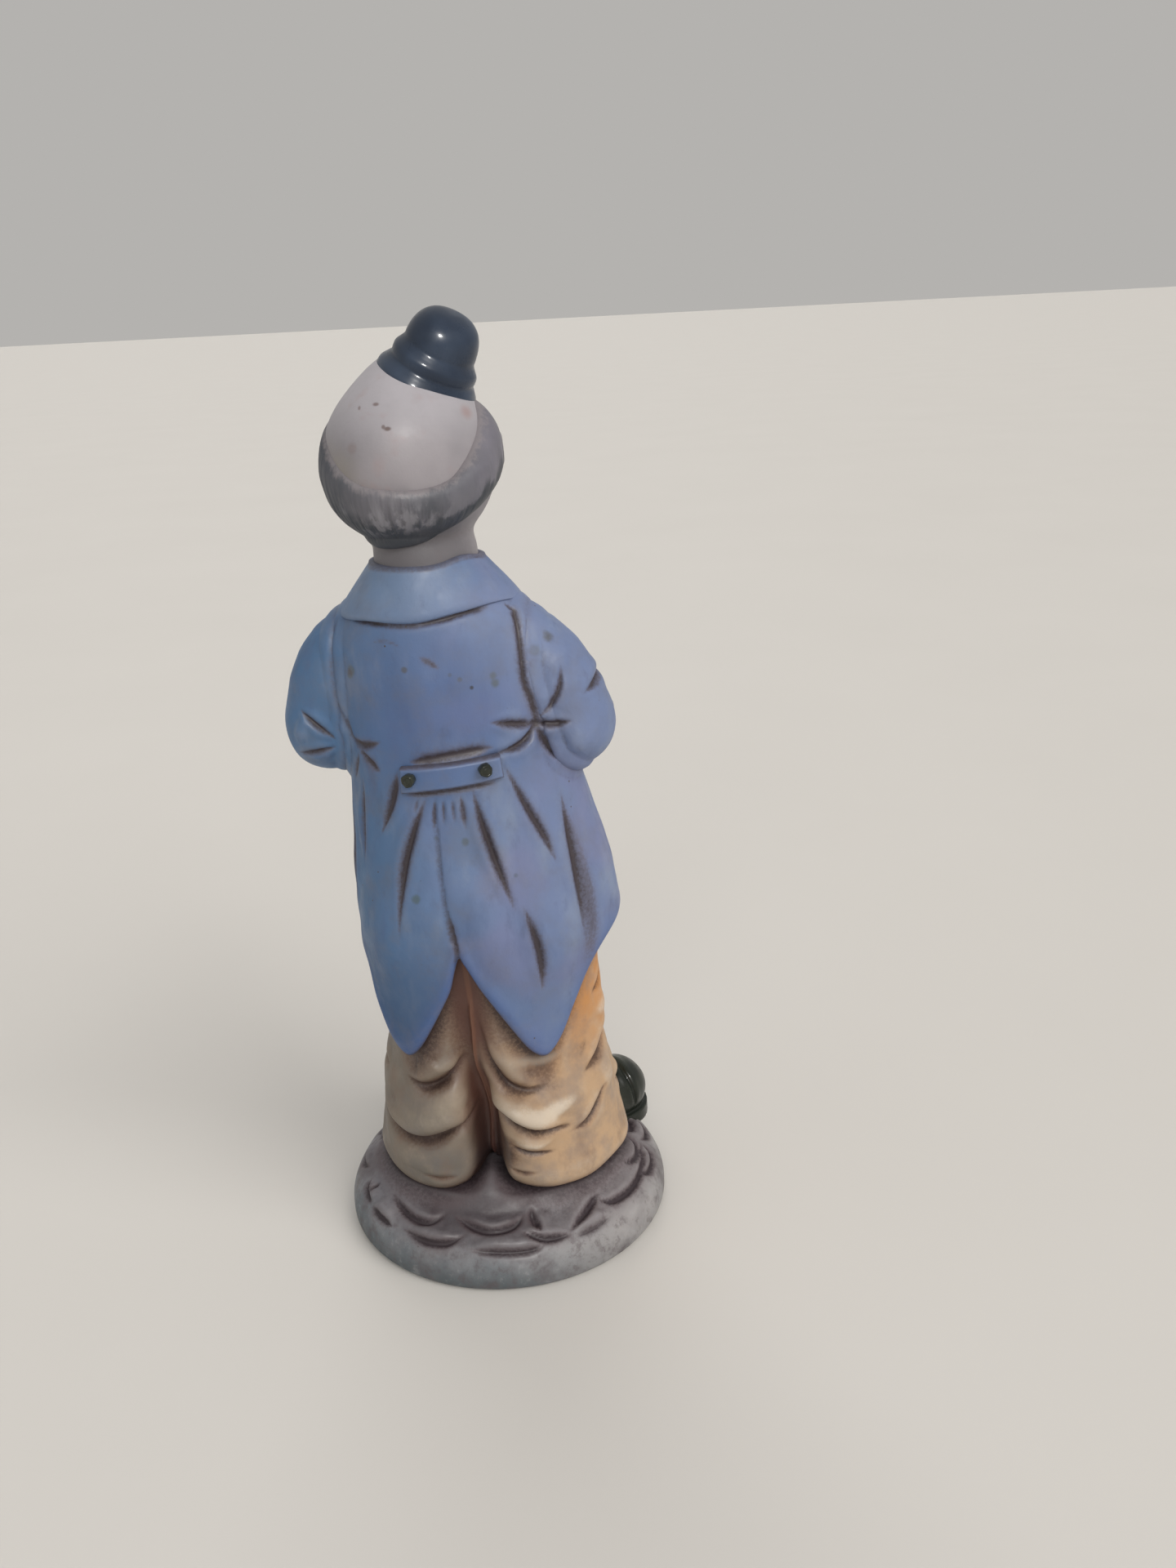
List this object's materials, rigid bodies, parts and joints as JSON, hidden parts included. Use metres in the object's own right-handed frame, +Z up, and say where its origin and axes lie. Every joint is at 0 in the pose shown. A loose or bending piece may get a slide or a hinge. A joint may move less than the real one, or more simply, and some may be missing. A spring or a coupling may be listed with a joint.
{
  "type": "souvenir figurine",
  "caption": "Bisque figurine of a standing figure in a tailcoat, baggy trousers and a small bell hat, on an oval mound that rests on any flat surface.",
  "frame": {"origin": "centre of the base's underside", "axes": "+Z up, -Y the way the figure faces, +X the figure's left"},
  "size_m": [0.0676, 0.0608, 0.1801],
  "materials": {
    "stone_bisque": "matte bisque, grey-white with a brown wash in the grooves",
    "tan_bisque": "matte bisque, tan with brown wash in the creases",
    "blue_bisque": "matte bisque, airbrushed slate blue with brown wash in the creases",
    "skin_bisque": "matte bisque, pale greyish pink",
    "hair_bisque": "matte bisque, brushed grey over a dark ground",
    "white_bisque": "matte bisque, off-white",
    "red_bisque": "matte bisque, dull red",
    "navy_glaze": "glossy near-black navy glaze",
    "dark_glaze": "glossy dark olive-black glaze"
  },
  "bodies": {
    "root": {"base": "stone_bisque", "trousers": "tan_bisque", "left_shoe": "dark_glaze", "right_shoe": "dark_glaze", "coat": "blue_bisque", "collar": "blue_bisque", "half_belt": "blue_bisque", "belt_button_left": "dark_glaze", "belt_button_right": "dark_glaze", "left_sleeve": "blue_bisque", "right_sleeve": "blue_bisque", "left_hand": "skin_bisque", "right_hand": "skin_bisque", "shirt_front": "white_bisque", "left_lapel": "blue_bisque", "right_lapel": "blue_bisque", "bow_tie": "red_bisque", "coat_button_1": "dark_glaze", "coat_button_2": "dark_glaze", "coat_button_3": "dark_glaze", "head": "skin_bisque", "hair_fringe": "hair_bisque", "hat": "navy_glaze"}
  },
  "joints": []
}
